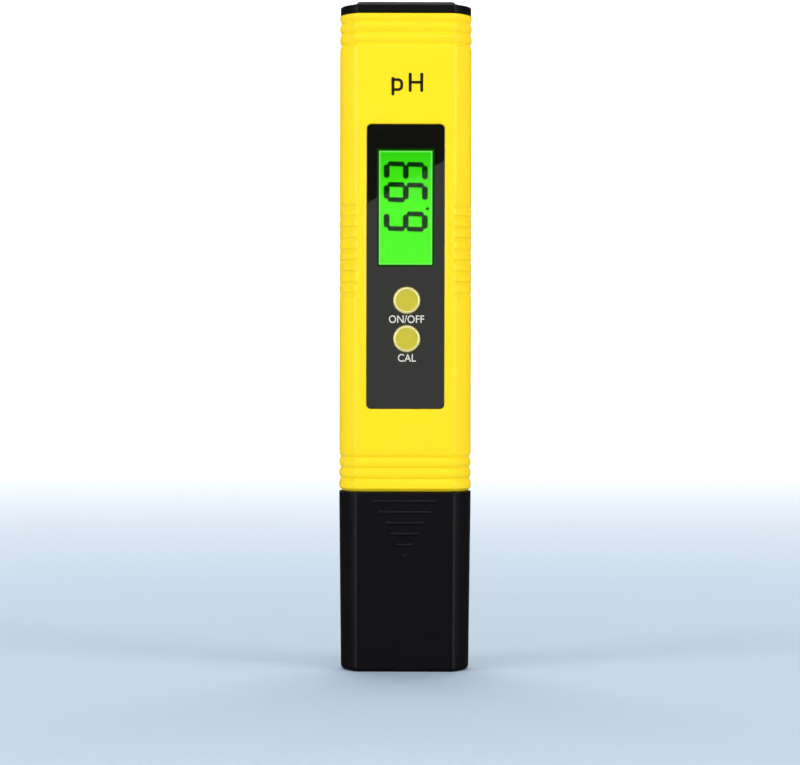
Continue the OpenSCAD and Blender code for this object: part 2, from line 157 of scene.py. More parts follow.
world = bpy.data.worlds.new("room")
world.use_nodes = True
bpy.context.scene.world = world
side = add(world.node_tree, "SeparateXYZ", {0: add(world.node_tree, "TexCoord").outputs["Generated"]})
glow = add(world.node_tree, "MapRange", {"Value": side.outputs["Y"], "From Min": -0.35, "From Max": 0.6,
           "To Min": FRONT_GLOW, "To Max": BACK_GLOW}, interpolation_type="SMOOTHSTEP")
ground = add(world.node_tree, "MapRange", {"Value": side.outputs["Z"], "From Min": -0.35,
             "From Max": -0.8, "To Min": 0.0, "To Max": GROUND_GLOW}, interpolation_type="SMOOTHSTEP")
both = add(world.node_tree, "Math", {0: glow.outputs[0], 1: ground.outputs[0]}, operation="ADD")
world.node_tree.links.new(both.outputs[0], world.node_tree.nodes["Background"].inputs["Strength"])


def softbox(name, at, aim, width, height, radiance, turn=0.0):
    """A rectangular light at a point, in millimetres, facing another, of a given brightness."""
    light = bpy.data.lights.new(name, "AREA")
    light.shape = "RECTANGLE"
    light.size, light.size_y = width * MM, height * MM
    light.energy = radiance * math.pi * light.size * light.size_y
    lamp = bpy.data.objects.new(name, light)
    facing = (Vector(aim) - Vector(at)).to_track_quat("-Z", "Y").to_matrix().to_4x4()
    lamp.matrix_world = Matrix.Translation(Vector(at) * MM) @ facing @ Matrix.Rotation(turn, 4, "Z")
    bpy.context.scene.collection.objects.link(lamp)
    return lamp


softbox("left_softbox", (-930, -600, 260), (0, 0, 75), 500, 1000, 5.8)
softbox("right_softbox", (930, -600, 260), (0, 0, 75), 500, 1000, 5.8)
softbox("top_softbox", (0, -1000, 850), (0, 0, 75), 1500, 600, 1.7)
softbox("wall_softbox", (0, 1150, 1500), (0, 1750, 0), 1900, 700, 6.5)

# A tilted card behind the camera is what the glossy panel mirrors. The card's upper edge shows on
# the panel's face as a slanting line between these two places, given in X and Z.
MIRRORED_LINE = ((-8.4, 106.0), (8.4, 115.2))
CARD_Y = -640
CARD_WIDTH = 160
CARD_HEIGHT = 112


def card_corner(x, z):
    """Where the camera's sight of a place on the panel, mirrored in it, meets the card's plane."""
    eye = CAMERA_AT / MM
    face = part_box("front_panel")[0].y / MM
    share = (face - CARD_Y) / (face - eye.y)
    return Vector((x + (x - eye.x) * share, CARD_Y, z + (z - eye.z) * share))


card_edge = [card_corner(*place) for place in MIRRORED_LINE]
along = (card_edge[1] - card_edge[0]).normalized()
slope = math.atan2(along.z, along.x)
down = Vector((along.z, 0, -along.x))
card_centre = (card_edge[0] + card_edge[1]) / 2 + down * CARD_HEIGHT / 2
softbox("reflection_card", card_centre, card_centre + Vector((0, 1, 0)), CARD_WIDTH, CARD_HEIGHT, 0.9, slope)


# ---------------------------------------------------------------- storage cap
# Black ABS moulded in one piece with a slight draft, a rounded base, and an inverted triangle of
# six raised grip lines on its front and back. It pushes over the probe and seals on a rubber ring.

CAP_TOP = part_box("storage_cap")[1].z / MM
body_low, body_high = (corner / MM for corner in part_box("front_shell"))
HALF_WIDTH = body_high.x
HALF_DEPTH = -body_low.y
SIDE_RADIUS = 10
ARC_X = HALF_WIDTH - SIDE_RADIUS
CREASE_RADIUS = 0.7
CAP_DRAFT = 0.45
CAP_WALL = 1.6
CAP_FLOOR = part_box("cap_sponge")[0].z / MM
BASE_RADIUS = 1.0
GRIP_LINES = [(38.6, 14.5), (36.15, 11.8), (33.7, 8.9), (31.25, 6.4), (28.8, 3.7), (26.35, 1.2)]
LINE_WIDTH = 0.76


def pen_outline(inset, crease=CREASE_RADIUS, side_cut=0.0, half=False):
    """The pen's outline moved in by inset: flats at front and back, arcs at the sides, soft creases.

    It starts at the middle of the right side and passes the front first. side_cut sinks the side
    arcs, least at the middle and fading out round the creases. half stops at the middle of the
    left side.
    """
    depth, radius = HALF_DEPTH - inset, SIDE_RADIUS - inset
    centre_x = ARC_X + math.sqrt((radius - crease) ** 2 - (depth - crease) ** 2)
    turn = math.degrees(math.atan2(depth - crease, centre_x - ARC_X))
    quarter = []
    for i in range(17):
        angle = math.radians(turn * i / 16)
        reach = radius - side_cut * min(1, 0.3 + 0.07 * i)
        quarter.append((ARC_X + reach * math.cos(angle), -reach * math.sin(angle)))
    for i in range(1, 8):
        angle = math.radians(turn + (90 - turn) * i / 7)
        reach = crease - side_cut * max(0, 1 - i / 5)
        quarter.append((centre_x + reach * math.cos(angle), crease - depth - reach * math.sin(angle)))
    quarter += [(centre_x * share, -depth) for share in (0.75, 0.5, 0.25, 0)]
    front = quarter + [(-x, y) for x, y in reversed(quarter[:-1])]
    return front if half else front + [(x, -y) for x, y in reversed(front[1:-1])]


def lofted(bm, rings, closed=True):
    """A skin through rings of points, each ring a list of (x, y, z) of the same length."""
    columns = len(rings[0]) + (1 if closed else 0)
    made = bmesh.ops.create_grid(bm, x_segments=columns - 1, y_segments=len(rings) - 1, size=1)["verts"]
    made.sort(key=lambda v: (round(v.co.y, 6), v.co.x))
    for i, v in enumerate(made):
        ring = rings[i // columns]
        v.co = ring[i % columns % len(ring)]
    bmesh.ops.remove_doubles(bm, verts=made, dist=1e-5)


def capped(bm):
    """Closes every open end and points the faces outwards."""
    bmesh.ops.holes_fill(bm, edges=[e for e in bm.edges if e.is_boundary], sides=0)
    bmesh.ops.recalc_face_normals(bm, faces=bm.faces)


def lower_round(z, radius, inset, steps=8):
    """A rounded lower edge as (z, inset) pairs, from the base up."""
    return [(z + radius + dz, inset + radius - out) for out, dz in arc((0, 0), radius, -90, 0, steps)]


def upper_round(z, radius, inset, steps=6):
    """A rounded upper edge as (z, inset) pairs, from the side up."""
    return [(z - radius + dz, inset + radius - out) for out, dz in arc((0, 0), radius, 0, 90, steps)]


def finished(name, bm, body, material, stands_for=(), sharp=35):
    """Turns a mesh drawn in millimetres into a piece that rides on a body."""
    bmesh.ops.scale(bm, vec=(MM, MM, MM), verts=bm.verts)
    mesh = bpy.data.meshes.new(name)
    bm.to_mesh(mesh)
    bm.free()
    mesh.shade_smooth()
    mesh.set_sharp_from_angle(angle=math.radians(sharp))
    mesh.materials.append(material)
    piece = bpy.data.objects.new(name, mesh)
    bpy.context.scene.collection.objects.link(piece)
    piece.modifiers.new("even_shading", "WEIGHTED_NORMAL").keep_sharp = True
    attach(piece, body)
    if stands_for:
        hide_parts(*stands_for)
    return piece


def noise(tree, place, size, detail):
    """Soft noise with features of a size in millimetres."""
    return add(tree, "TexNoise", {"Vector": place, "Scale": 1 / (size * MM), "Detail": detail}).outputs["Fac"]


def glossed(tree, shader, share, low, high):
    """Takes a shader's roughness from low to high by a share."""
    gloss = add(tree, "MapRange", {"Value": share, "To Min": low, "To Max": high})
    tree.links.new(gloss.outputs[0], shader.inputs["Roughness"])


def bumped(tree, shader, height, depth):
    """Gives a shader relief of a depth in millimetres."""
    bump = add(tree, "Bump", {"Height": height, "Distance": depth * MM, "Strength": 1.0})
    tree.links.new(bump.outputs[0], shader.inputs["Normal"])


def moulded_plastic(name, colour, shade, roughness, grain, depth, specular):
    """Moulded plastic: a colour that drifts slightly, and the fine spark-eroded grain of the mould.

    grain and depth are the size of the grain and how deep it is, in millimetres.
    """
    material, tree, shader, place = blank_material(name)
    tinted(tree, shader, noise(tree, place, 22, 3.0), shade, colour)
    texture = add(tree, "TexNoise", {"Vector": place, "Scale": 1 / (grain * MM), "Detail": 4.0,
                  "Roughness": 0.6}).outputs["Fac"]
    glossed(tree, shader, texture, roughness - 0.05, roughness + 0.05)
    bumped(tree, shader, texture, depth)
    set_inputs(shader, {"Specular IOR Level": specular})
    return material


def raised_line(bm, z, length, width, y):
    """A grip line: a rounded rib along X, half sunk in the plane y, in the piece's second material."""
    made = bmesh.ops.create_uvsphere(bm, u_segments=16, v_segments=9, radius=width / 2)["verts"]
    bmesh.ops.rotate(bm, verts=made, matrix=Matrix.Rotation(math.radians(90), 3, "Y"))
    for v in made:
        v.co.x += math.copysign((length - width) / 2, v.co.x)
    bmesh.ops.translate(bm, verts=made, vec=(0, y, z))
    for face in {face for v in made for face in v.link_faces}:
        face.material_index = 1


def cap_inset(z):
    return CAP_DRAFT * (1 - z / CAP_TOP)


black_cap_abs = moulded_plastic("black_cap_abs", "0C0B10", "09080C", 0.42, 0.35, 0.02, 0.22)
cap = bmesh.new()
cap_rings = lower_round(0, BASE_RADIUS, CAP_DRAFT)
cap_rings += [(z, cap_inset(z)) for z in (CAP_TOP * 0.33, CAP_TOP * 0.67)]
cap_rings += upper_round(CAP_TOP, 0.25, 0) + [(CAP_TOP, CAP_WALL - 0.2), (CAP_TOP - 0.2, CAP_WALL)]
cap_rings += [(CAP_FLOOR + 1, CAP_WALL + CAP_DRAFT), (CAP_FLOOR + 0.3, CAP_WALL + CAP_DRAFT + 0.3),
              (CAP_FLOOR, CAP_WALL + CAP_DRAFT + 1)]
lofted(cap, [[(x, y, z) for x, y in pen_outline(inset)] for z, inset in cap_rings])
capped(cap)
for line_z, line_length in GRIP_LINES:
    for face in (-1, 1):
        raised_line(cap, line_z, line_length, LINE_WIDTH, face * (HALF_DEPTH - cap_inset(line_z) - 0.02))
cap_piece = finished("storage_cap_moulding", cap, "storage_cap_body", black_cap_abs,
                     ["storage_cap"])
# The grip lines take a second finish: smoother from handling, and painted a shade lighter than the cap as a
# painted sheen.
cap_piece.data.materials.append(moulded_plastic("burnished_abs_painted_sheen", "15141A", "121117", 0.38, 0.35, 0.004, 0.25))


# ---------------------------------------------------------------- cap sponge
# A cut block of open-cell foam in the floor of the cap. It holds the storage solution that keeps
# the glass bulb wet.

def cells(tree, place, size):
    """Distances in a pattern of cells of a size in millimetres."""
    return add(tree, "TexVoronoi", {"Vector": place, "Scale": 1 / (size * MM)}).outputs["Distance"]


def open_cell_foam():
    material, tree, shader, place = blank_material("open_cell_foam")
    foam = cells(tree, place, 0.7)
    tinted(tree, shader, foam, "8C7A42", "DCCB8A")
    bumped(tree, shader, foam, 0.3)
    set_inputs(shader, {"Roughness": 0.95})
    return material


def softened_copy(node, radius, segments=2, angle=30):
    """A copy of a CAD node in millimetres, its triangles merged into faces and its edges rounded."""
    bm = bmesh.new()
    bm.from_mesh(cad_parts[node].data)
    bmesh.ops.scale(bm, vec=(1 / MM,) * 3, verts=bm.verts)
    bmesh.ops.remove_doubles(bm, verts=bm.verts, dist=0.0005)
    bmesh.ops.dissolve_limit(bm, angle_limit=math.radians(1), verts=bm.verts, edges=bm.edges)
    edges = [e for e in bm.edges if e.is_manifold and e.calc_face_angle() > math.radians(angle)]
    bmesh.ops.bevel(bm, geom=edges, offset=radius, offset_type="OFFSET", segments=segments, profile=0.5,
                    affect="EDGES", material=-1, clamp_overlap=True)
    return bm


finished("cap_sponge_foam", softened_copy("cap_sponge", 0.4, 3), "storage_cap_body", open_cell_foam(),
         ["cap_sponge"])


# ---------------------------------------------------------------- housing shells
# Two yellow ABS mouldings that meet in a seam down the sides. Both carry three scalloped rings
# near each end and a ribbed grip on each side; the front one is recessed for the panel.

BODY_BASE = body_low.z
BODY_TOP = body_high.z
RING_HEIGHTS = [43.6, 46.05, 48.45, 141.85, 144.35, 146.8]
RING_DEPTH = 0.44
RING_HALF = 1.2
GRIP_BASE = 85.25
GRIP_COUNT = 9
GRIP_PITCH = 2.475
GRIP_DEPTH = 0.38
GRIP_STEPS = 12
PLAIN_HEIGHTS = {56, 62, 70, 78, 110, 118, 126, 134}
MAIN_WALL = 1.8
BAY_WALL = 1.5
BAY_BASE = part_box("battery_tray")[0].z / MM - 0.5
FLOOR_TOP = BODY_BASE + 1.55
NECK_INSET = 2.15
SEAM_GAP = 0.06
CHAMFER = 0.75
TOP_ROUND = 0.3
HOUSING_CREASE = 1.8

yellow_abs = moulded_plastic("yellow_abs", "FBD718", "F9D413", 0.36, 0.4, 0.0012, 0.26)


def scallop(z):
    """How deep the ring grooves are at a height: two rounded flanks down to a narrow trough."""
    nearest = min(abs(z - ring) for ring in RING_HEIGHTS) / RING_HALF
    return RING_DEPTH * (1 - min(1, nearest)) ** 2.2


def grip(z):
    """How far the side grips are sunk at a height: shallow round grooves, blended out at the ends."""
    turns = (z - GRIP_BASE) / GRIP_PITCH
    if not -0.5 < turns < GRIP_COUNT - 0.5:
        return 0
    return GRIP_DEPTH * max(0, math.cos(math.tau * turns)) ** 1.3


def housing_rings():
    """Each ring of the housing as (z, inset, grip), up the outside, over the rim and down the inside."""
    outside = [(BODY_BASE + up * CHAMFER, out * CHAMFER, 0)
               for up, out in ((0, 1.1), (0.06, 0.96), (0.9, 0.1), (1.02, 0.02), (1.2, 0))]
    heights = set()
    for ring in RING_HEIGHTS:
        heights |= {ring + side * t * RING_HALF for side in (-1, 1) for t in (0.04, 0.15, 0.3, 0.5, 0.75, 1)}
    for i in range(1 - GRIP_STEPS // 2, GRIP_COUNT * GRIP_STEPS + 1 - GRIP_STEPS // 2):
        heights.add(GRIP_BASE + GRIP_PITCH * i / GRIP_STEPS)
    heights |= PLAIN_HEIGHTS
    low, high = BODY_BASE + 1.6 * CHAMFER, BODY_TOP - TOP_ROUND - 0.05
    outside += [(z, scallop(z), grip(z)) for z in sorted(heights) if low < z < high]
    outside += [(z, inset, 0) for z, inset in upper_round(BODY_TOP, TOP_ROUND, 0)]
    inside = [(BODY_TOP, BAY_WALL - 0.15), (BODY_TOP - 0.15, BAY_WALL), (BAY_BASE, BAY_WALL),
              (BAY_BASE, MAIN_WALL), (FLOOR_TOP, MAIN_WALL), (FLOOR_TOP, NECK_INSET), (BODY_BASE, NECK_INSET)]
    rings = outside + [(z, inset, 0) for z, inset in inside]
    return rings + rings[:1]


def half_shell(face):
    """One shell. face is -1 for the front and 1 for the rear, each kept just clear of the seam."""
    bm = bmesh.new()
    rings = []
    for z, inset, cut in housing_rings():
        outline = pen_outline(inset, HOUSING_CREASE, cut, half=True)
        rings.append([(x, face * max(SEAM_GAP, -y), z) for x, y in outline])
    lofted(bm, rings, closed=False)
    capped(bm)
    return bm


def thicken(bm, faces, travel, **settings):
    """Pulls a copy of flat faces along Y, and walls in the room between."""
    raised = bmesh.ops.extrude_face_region(bm, geom=faces, **settings)["geom"]
    moved = [part for part in raised if isinstance(part, bmesh.types.BMVert)]
    bmesh.ops.translate(bm, vec=(0, travel, 0), verts=moved)


def slab(outline, front, back):
    """A plate whose outline is drawn in X and Z, between two depths."""
    bm = bmesh.new()
    verts = [bm.verts.new((x, back, z)) for x, z in outline]
    face = bm.faces.new(verts)
    thicken(bm, [face], front - back)
    bmesh.ops.recalc_face_normals(bm, faces=bm.faces)
    return bm


def rounded_rect(low_x, high_x, low_z, high_z, radius, steps=6):
    """Points round a rectangle with rounded corners."""
    corners = [(high_x, high_z, 0), (low_x, high_z, 90), (low_x, low_z, 180), (high_x, low_z, 270)]
    points = []
    for x, z, start in corners:
        centre_x = x - math.copysign(radius, x - (low_x + high_x) / 2)
        centre_z = z - math.copysign(radius, z - (low_z + high_z) / 2)
        points += arc((centre_x, centre_z), radius, start, start + 90, steps)
    return points


def carved(bm, cutters):
    """Cuts shapes out of a mesh, all in millimetres."""
    def as_object(shape):
        mesh = bpy.data.meshes.new("carving")
        shape.to_mesh(mesh)
        shape.free()
        made = bpy.data.objects.new("carving", mesh)
        bpy.context.scene.collection.objects.link(made)
        return made

    work = as_object(bm)
    tools = [as_object(cutter) for cutter in cutters]
    for tool in tools:
        cut = work.modifiers.new("cut", "BOOLEAN")
        cut.operation, cut.solver, cut.object = "DIFFERENCE", "EXACT", tool
    bpy.context.view_layer.update()
    result = bmesh.new()
    result.from_mesh(work.evaluated_get(bpy.context.evaluated_depsgraph_get()).to_mesh())
    for made in [work, *tools]:
        bpy.data.objects.remove(made)
    return result


def rounded_rims(bm, y, facing, radius, segments=3):
    """Rounds the edges where openings break through a flat face at the depth y."""
    rims = []
    for e in bm.edges:
        if not e.is_manifold or any(abs(v.co.y - y) > 0.01 for v in e.verts):
            continue
        along_y = [f.normal.y * facing for f in e.link_faces]
        if max(along_y) > 0.95 and min(along_y) < 0.2:
            rims.append(e)
    bmesh.ops.bevel(bm, geom=rims, offset=radius, offset_type="OFFSET", segments=segments, profile=0.5,
                    affect="EDGES", material=-1, clamp_overlap=True)


def drilled(x, z, diameter, front, back):
    """A round cutter along Y."""
    return slab(arc((x, z), diameter / 2, 0, 360, 40)[:-1], front, back)


def merge(bm, other):
    """Adds one mesh to another."""
    mesh = bpy.data.meshes.new("merged")
    other.to_mesh(mesh)
    other.free()
    bm.from_mesh(mesh)


def extent(node):
    """The corners of a CAD node, in millimetres."""
    low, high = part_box(node)
    return low / MM, high / MM


panel_low, panel_high = extent("front_panel")
glass_low, glass_high = extent("display_glass")
POCKET_GAP = 0.1
POCKET_CORNER = 1.05
RIM_WIDTH = 0.36
RIM_DEPTH = 0.19
THROUGH = (-HALF_DEPTH - 1, -HALF_DEPTH + 3)
pocket = slab(rounded_rect(panel_low.x - POCKET_GAP, panel_high.x + POCKET_GAP, panel_low.z - POCKET_GAP,
                           panel_high.z + POCKET_GAP, POCKET_CORNER), -HALF_DEPTH - 1, panel_high.y)
rim = bmesh.new()
lofted(rim, [[(x, -HALF_DEPTH - side * RIM_DEPTH, z) for x, z in rounded_rect(
    panel_low.x - POCKET_GAP - grow, panel_high.x + POCKET_GAP + grow, panel_low.z - POCKET_GAP - grow,
    panel_high.z + POCKET_GAP + grow, POCKET_CORNER + grow)] for side, grow in ((1, 2 * RIM_WIDTH), (-1, 0))])
capped(rim)
window_hole = slab(rounded_rect(glass_low.x - 0.2, glass_high.x + 0.2, glass_low.z - 0.2,
                                glass_high.z + 0.2, 0.3), *THROUGH)
key_holes = []
for key in ("on_off_key", "cal_key"):
    key_low, key_high = extent(key)
    key_holes.append(drilled((key_low.x + key_high.x) / 2, (key_low.z + key_high.z) / 2,
                             key_high.x - key_low.x + 0.4, *THROUGH))
front_shell = carved(half_shell(-1), [pocket, rim, window_hole, *key_holes])
rounded_rims(front_shell, -HALF_DEPTH, -1, 0.05)
finished("front_shell_moulding", front_shell, "housing", yellow_abs, ["front_shell"])

screws_low, screws_high = extent("case_screws")
SCREW_HEAD_RADIUS = 1.85
SCREW_SEAT = HALF_DEPTH - 3
SCREW_HOLE = 4
BOSS_BORE = 1.15
BOSS_RADIUS = 2.8
BOSS_END = 6.3
screw_heights = (screws_low.z + SCREW_HEAD_RADIUS, screws_high.z - SCREW_HEAD_RADIUS)
rear_shell = half_shell(1)
rear_shell = carved(rear_shell,
                    [drilled(0, z, SCREW_HOLE, SCREW_SEAT, HALF_DEPTH + 1) for z in screw_heights])
rounded_rims(rear_shell, HALF_DEPTH, 1, 0.2)
for screw_z in screw_heights:
    sleeve = [(BOSS_BORE, -1), (BOSS_RADIUS, -1), (BOSS_RADIUS, -BOSS_END), (SCREW_HOLE / 2, -BOSS_END),
              (SCREW_HOLE / 2, -SCREW_SEAT), (BOSS_BORE, -SCREW_SEAT), (BOSS_BORE, -1)]
    boss = bmesh.new()
    turned(boss, sleeve, 40)
    bmesh.ops.rotate(boss, verts=boss.verts, matrix=Matrix.Rotation(math.radians(90), 3, "X"))
    bmesh.ops.translate(boss, verts=boss.verts, vec=(0, 0, screw_z))
    merge(rear_shell, boss)
finished("rear_shell_moulding", rear_shell, "housing", yellow_abs, ["rear_shell"])


# ---------------------------------------------------------------- case screws
# Two pan-head self-tapping screws, nickel plated, that pull the rear shell onto the front one.

def plated_steel(name, colour, roughness, lay):
    """Plated or bright steel with the fine turning marks of a lathe, lay millimetres apart."""
    material, tree, shader, place = blank_material(name)
    marks = noise(tree, place, lay, 2.0)
    glossed(tree, shader, marks, roughness - 0.07, roughness + 0.1)
    bumped(tree, shader, marks, 0.004)
    set_inputs(shader, {"Base Color": linear(colour), "Metallic": 1.0})
    return material


nickel_plate = plated_steel("nickel_plate", "C9C6BE", 0.24, 0.5)
stainless_steel = plated_steel("stainless_steel", "BFC1C4", 0.3, 0.3)
finished("case_screws_plated", softened_copy("case_screws", 0.12), "housing", nickel_plate,
         ["case_screws"])


# ---------------------------------------------------------------- pH mark
# The letters pH, pad printed in near-black ink on the front shell above the panel.

INK_DEPTH = 0.02
PH_STROKE = 0.72


def printed_ink(name, colour, sheen=0.3):
    """Printing ink: matt, and very slightly uneven where the pad laid it down."""
    material, tree, shader, place = blank_material(name)
    glossed(tree, shader, noise(tree, place, 0.3, 3.0), 0.35, 0.6)
    set_inputs(shader, {"Base Color": linear(colour), "Specular IOR Level": sheen})
    return material


def stroke(bm, start, end, width):
    """A flat bar with round ends between two points (x, z), lying in the plane y = 0."""
    start, end = Vector(start), Vector(end)
    run = end - start
    made = bmesh.ops.create_circle(bm, cap_ends=True, segments=18, radius=width / 2)["verts"]
    for v in made:
        v.co.x += math.copysign(run.length / 2, v.co.x)
    turn = Matrix.Rotation(math.radians(90), 3, "X") @ Matrix.Rotation(math.atan2(run.y, run.x), 3, "Z")
    bmesh.ops.rotate(bm, verts=made, matrix=turn)
    middle = (start + end) / 2
    bmesh.ops.translate(bm, verts=made, vec=(middle.x, 0, middle.y))


def bent_stroke(bm, centre, radius, width, start):
    """A quarter of a flat ring about a point (x, z), clockwise from start, in the plane y = 0."""
    reach = Vector((math.sin(start), 0, math.cos(start)))
    verts = [bm.verts.new(Vector((centre[0], 0, centre[1])) + reach * r)
             for r in (radius - width / 2, radius + width / 2)]
    edge = bm.edges.new(verts)
    bmesh.ops.spin(bm, geom=[*verts, edge], cent=(centre[0], 0, centre[1]), axis=(0, 1, 0),
                   dvec=(0, 0, 0), angle=math.pi / 2, steps=9)


def inked(bm, y):
    """Gives flat lettering its ink thickness and stands it on the plane y, facing the front."""
    bmesh.ops.recalc_face_normals(bm, faces=bm.faces)
    thicken(bm, bm.faces[:], -INK_DEPTH, use_keep_orig=True)
    bmesh.ops.translate(bm, vec=(0, y, 0), verts=bm.verts)
    bmesh.ops.recalc_face_normals(bm, faces=bm.faces)


mark = bmesh.new()
H_LEFT, H_RIGHT, H_BASE, H_TOP = 0.96, 3.56, 131.1, 134.75
P_STEM, P_BASE, P_TOP, BOWL_BASE, BOWL_TOP = -2.92, 130.3, 133.78, 131.26, 133.5
BOWL_BEND = 0.85
bowl_x = -0.93 - BOWL_BEND
stroke(mark, (H_LEFT, H_BASE), (H_LEFT, H_TOP), PH_STROKE)
stroke(mark, (H_RIGHT, H_BASE), (H_RIGHT, H_TOP), PH_STROKE)
stroke(mark, (H_LEFT, (H_BASE + H_TOP) / 2), (H_RIGHT, (H_BASE + H_TOP) / 2), PH_STROKE * 0.9)
stroke(mark, (P_STEM, P_BASE), (P_STEM, P_TOP), PH_STROKE)
stroke(mark, (P_STEM, BOWL_TOP), (bowl_x, BOWL_TOP), PH_STROKE * 0.9)
stroke(mark, (P_STEM, BOWL_BASE), (bowl_x, BOWL_BASE), PH_STROKE * 0.9)
bent_stroke(mark, (bowl_x, BOWL_TOP - BOWL_BEND), BOWL_BEND, PH_STROKE * 0.9, 0)
bent_stroke(mark, (bowl_x, BOWL_BASE + BOWL_BEND), BOWL_BEND, PH_STROKE * 0.9, math.pi / 2)
stroke(mark, (bowl_x + BOWL_BEND, BOWL_BASE + BOWL_BEND), (bowl_x + BOWL_BEND, BOWL_TOP - BOWL_BEND),
       PH_STROKE * 0.9)
inked(mark, -HALF_DEPTH)
finished("ph_mark", mark, "housing", printed_ink("mark_ink", "1E1400"))


# ---------------------------------------------------------------- front panel
# One glossy black plate let into the front shell, with a window for the display and two round
# holes for the keys. The key names are screen printed on it in pale ink.

window_low, window_high = extent("display_lens")
WINDOW_CORNER = 0.12


def polished_black():
    """Polished black acrylic: near mirror, with the faintest waviness of a moulded sheet."""
    material, tree, shader, place = blank_material("polished_black")
    glossed(tree, shader, noise(tree, place, 9, 1.0), 0.0, 0.02)
    set_inputs(shader, {"Base Color": linear("100F0C"), "IOR": 1.49})
    return material


def lettering(words, width, height, x, z, y, weight):
    """Sans-serif capitals fitted to a width and a height, centred on x and z, as a flat mesh."""
    curve = bpy.data.curves.new(words, "FONT")
    curve.body = words
    curve.offset = weight
    curve.resolution_u = 5
    text = bpy.data.objects.new(words, curve)
    bpy.context.scene.collection.objects.link(text)
    bpy.context.view_layer.update()
    bm = bmesh.new()
    bm.from_mesh(text.evaluated_get(bpy.context.evaluated_depsgraph_get()).to_mesh())
    bpy.data.objects.remove(text)
    low = Vector((min(v.co.x for v in bm.verts), min(v.co.y for v in bm.verts), 0))
    high = Vector((max(v.co.x for v in bm.verts), max(v.co.y for v in bm.verts), 0))
    bmesh.ops.translate(bm, verts=bm.verts, vec=-(low + high) / 2)
    bmesh.ops.scale(bm, verts=bm.verts, vec=(width / (high.x - low.x), height / (high.y - low.y), 1))
    bmesh.ops.rotate(bm, verts=bm.verts, matrix=Matrix.Rotation(math.radians(90), 3, "X"))
    bmesh.ops.translate(bm, verts=bm.verts, vec=(x, 0, z))
    inked(bm, y)
    return bm


on_off_low, on_off_high = extent("on_off_key")
cal_low, cal_high = extent("cal_key")
on_off_at = ((on_off_low.x + on_off_high.x) / 2, (on_off_low.z + on_off_high.z) / 2)
cal_at = ((cal_low.x + cal_high.x) / 2, (cal_low.z + cal_high.z) / 2)
KEY_DIAMETER = 6.02
KEY_GAP = 0.26

panel = slab(rounded_rect(panel_low.x, panel_high.x, panel_low.z, panel_high.z, 1), panel_low.y, panel_high.y)
rounded_rims(panel, panel_low.y, -1, 0.06)
panel = carved(
    panel,
    [slab(rounded_rect(window_low.x, window_high.x, window_low.z, window_high.z, WINDOW_CORNER),
          panel_low.y - 1, panel_high.y + 1),
     drilled(*on_off_at, KEY_DIAMETER + 2 * KEY_GAP, panel_low.y - 1, panel_high.y + 1),
     drilled(*cal_at, KEY_DIAMETER + 2 * KEY_GAP, panel_low.y - 1, panel_high.y + 1)])
finished("front_panel_plate", panel, "housing", polished_black(), ["front_panel"])

pale_ink = printed_ink("pale_ink", "D2CEC2")
finished("on_off_name", lettering("ON/OFF", 7.95, 1.75, 0.25, 79.65, panel_low.y, 0.008), "housing",
         pale_ink)
finished("cal_name", lettering("CAL", 4.05, 1.75, 0.35, 70.95, panel_low.y, 0.008), "housing",
         pale_ink)


# ---------------------------------------------------------------- display
# A liquid-crystal cell over a green light guide. Its figures are dark, turned a quarter so that
# they read up the pen, and a clear lens set flush in the panel covers it.

window_centre = (window_low + window_high) / 2
COLUMN_X = (-4.28, 0.03, 4.33)
SEGMENT_ACROSS = 1.34
SEGMENT_ALONG = 1.12
SEGMENT_GAP = 0.84
FIGURE_WIDTH = 3.42
LEAN = 0.03
DIGITS = [("acdefg", 101.7), ("abcdfg", 108.2), ("abcdg", 112.85)]
DOT = (4.92, 104.55)


def backlit_cell():
    """The lit display: even green, brighter towards the lamp below and along the window's edges."""
    material, tree, shader, place = blank_material("backlit_cell")
    spot = add(tree, "SeparateXYZ", {0: place})
    rise = add(tree, "MapRange", {"Value": spot.outputs["Z"], "From Min": window_low.z * MM,
               "From Max": window_high.z * MM})
    fall = add(tree, "ValToRGB", {0: rise.outputs[0]})
    fall.color_ramp.elements[0].color = linear("48F60F")
    fall.color_ramp.elements[0].position = 0.55
    fall.color_ramp.elements[1].color = linear("2DD006")
    across = add(tree, "Math", {0: spot.outputs["X"]}, operation="ABSOLUTE")
    height = add(tree, "Math", {0: spot.outputs["Z"], 1: window_centre.z * MM}, operation="SUBTRACT")
    upright = add(tree, "Math", {0: height.outputs[0]}, operation="ABSOLUTE")
    side_edge = add(tree, "Math", {0: across.outputs[0], 1: window_high.x * MM}, operation="SUBTRACT")
    end_edge = add(tree, "Math", {0: upright.outputs[0], 1: (window_high.z - window_centre.z) * MM},
                   operation="SUBTRACT")
    nearest = add(tree, "Math", {0: side_edge.outputs[0], 1: end_edge.outputs[0]}, operation="MAXIMUM")
    edge = add(tree, "MapRange", {"Value": nearest.outputs[0], "From Min": -0.45 * MM,
               "From Max": -0.12 * MM})
    lit = add(tree, "Mix", {0: edge.outputs[0], 6: fall.outputs[0], 7: linear("70F25A")}, data_type="RGBA")
    tree.links.new(lit.outputs[2], shader.inputs["Emission Color"])
    set_inputs(shader, {"Emission Strength": 1.03, "Base Color": linear("020A03"), "Roughness": 0.4,
                        "Specular IOR Level": 0.0})
    return material


